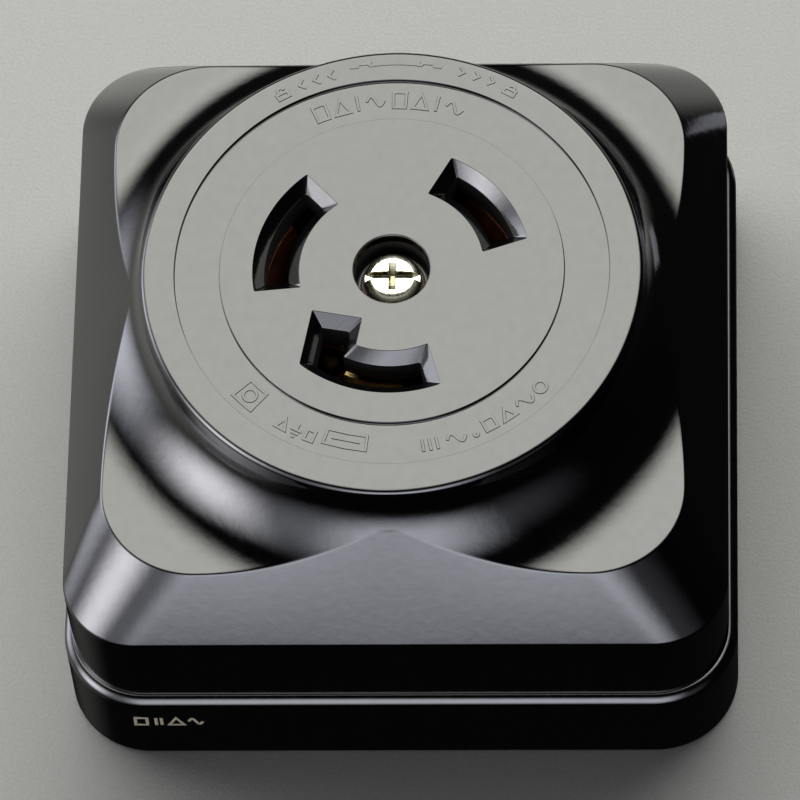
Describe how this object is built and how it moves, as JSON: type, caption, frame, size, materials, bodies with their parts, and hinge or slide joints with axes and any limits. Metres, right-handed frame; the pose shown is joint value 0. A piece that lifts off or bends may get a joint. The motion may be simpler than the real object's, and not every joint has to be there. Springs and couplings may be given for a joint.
{
  "type": "surface-mounted locking socket outlet",
  "caption": "Square black surface-mounted locking power outlet: stepped base, sloped cover with a raised round face, arc-shaped blade slots and a central cover screw.",
  "frame": {"origin": "centre of the base's back, on the mounting plane", "axes": "+Z out of the socket face, +X to the right and +Y towards the unlock and lock marks"},
  "size_m": [0.0862, 0.0862, 0.0509],
  "materials": {
    "cover_phenolic": "polished black moulded phenolic",
    "base_phenolic": "black moulded phenolic",
    "nickel_plate": "bright nickel plate, slightly warm",
    "brass": "rolled brass",
    "phosphor_bronze": "rolled phosphor bronze",
    "zinc_steel": "zinc-plated steel",
    "fibre": "dark vulcanised fibre",
    "marking_ink": "pale ink stamped on the base's front"
  },
  "bodies": {
    "base": {"base": "base_phenolic", "cover_screw_insert": "brass", "contact_left": "phosphor_bronze", "contact_rivet_left": "brass", "leaf_rivet_left": "brass", "terminal_nut_left": "brass", "contact_right": "phosphor_bronze", "contact_rivet_right": "brass", "leaf_rivet_right": "brass", "terminal_nut_right": "brass", "contact_front": "brass", "contact_rivet_front": "brass", "leaf_rivet_front": "brass", "terminal_nut_front": "brass"},
    "cover": {"cover": "cover_phenolic"},
    "cover_screw_fittings": {"cover_screw_washer": "fibre", "cover_screw_retainer": "fibre"},
    "cover_screw": {"cover_screw": "nickel_plate"},
    "contact_leaf_left": {"contact_leaf_left": "phosphor_bronze"},
    "terminal_washer_left": {"terminal_washer_left": "zinc_steel"},
    "terminal_screw_left": {"terminal_screw_left": "zinc_steel"},
    "contact_leaf_right": {"contact_leaf_right": "phosphor_bronze"},
    "terminal_washer_right": {"terminal_washer_right": "zinc_steel"},
    "terminal_screw_right": {"terminal_screw_right": "zinc_steel"},
    "contact_leaf_front": {"contact_leaf_front": "brass"},
    "terminal_washer_front": {"terminal_washer_front": "zinc_steel"},
    "terminal_screw_front": {"terminal_screw_front": "zinc_steel"}
  },
  "joints": [
    {"name": "cover_lift", "type": "slide", "parent": "base", "child": "cover", "axis": [0, 0, 1], "range_m": [0, 0.06]},
    {"name": "cover_screw_rise", "type": "slide", "parent": "cover", "child": "cover_screw_fittings", "axis": [0, 0, 1], "range_m": [0, 0.0075]},
    {"name": "cover_screw_turn", "type": "hinge", "parent": "cover_screw_fittings", "child": "cover_screw", "pos_m": [0, 0, 0.0472], "axis": [0, 0, 1], "range_deg": [0, 3858]},
    {"name": "contact_leaf_bend_left", "type": "hinge", "parent": "base", "child": "contact_leaf_left", "pos_m": [-0.01246, 0.00466, 0.0184], "axis": [0.3502, 0.9367, 0], "range_deg": [0, 2], "stiffness_Nm_per_rad": 0.2},
    {"name": "terminal_washer_rise_left", "type": "slide", "parent": "base", "child": "terminal_washer_left", "axis": [0, 0, 1], "range_m": [0, 0.003]},
    {"name": "terminal_screw_turn_left", "type": "hinge", "parent": "terminal_washer_left", "child": "terminal_screw_left", "pos_m": [-0.0266, 0.00995, 0.0213], "axis": [0, 0, 1], "range_deg": [0, 1351]},
    {"name": "contact_leaf_bend_right", "type": "hinge", "parent": "base", "child": "contact_leaf_right", "pos_m": [0.01023, 0.00851, 0.0184], "axis": [0.6394, -0.7688, 0], "range_deg": [0, 2], "stiffness_Nm_per_rad": 0.2},
    {"name": "terminal_washer_rise_right", "type": "slide", "parent": "base", "child": "terminal_washer_right", "axis": [0, 0, 1], "range_m": [0, 0.003]},
    {"name": "terminal_screw_turn_right", "type": "hinge", "parent": "terminal_washer_right", "child": "terminal_screw_right", "pos_m": [0.02184, 0.01816, 0.0213], "axis": [0, 0, 1], "range_deg": [0, 1351]},
    {"name": "contact_leaf_bend_front", "type": "hinge", "parent": "base", "child": "contact_leaf_front", "pos_m": [-0.00254, -0.01306, 0.0184], "axis": [-0.9816, 0.1908, 0], "range_deg": [0, 2], "stiffness_Nm_per_rad": 0.2},
    {"name": "terminal_washer_rise_front", "type": "slide", "parent": "base", "child": "terminal_washer_front", "axis": [0, 0, 1], "range_m": [0, 0.003]},
    {"name": "terminal_screw_turn_front", "type": "hinge", "parent": "terminal_washer_front", "child": "terminal_screw_front", "pos_m": [-0.00542, -0.02788, 0.0213], "axis": [0, 0, 1], "range_deg": [0, 1351]}
  ],
  "couplings": [
    {"joint": "cover_screw_turn", "follows": "cover_screw_rise", "rad_per_m": 8976},
    {"joint": "terminal_screw_turn_left", "follows": "terminal_washer_rise_left", "rad_per_m": 7854},
    {"joint": "terminal_screw_turn_right", "follows": "terminal_washer_rise_right", "rad_per_m": 7854},
    {"joint": "terminal_screw_turn_front", "follows": "terminal_washer_rise_front", "rad_per_m": 7854}
  ]
}
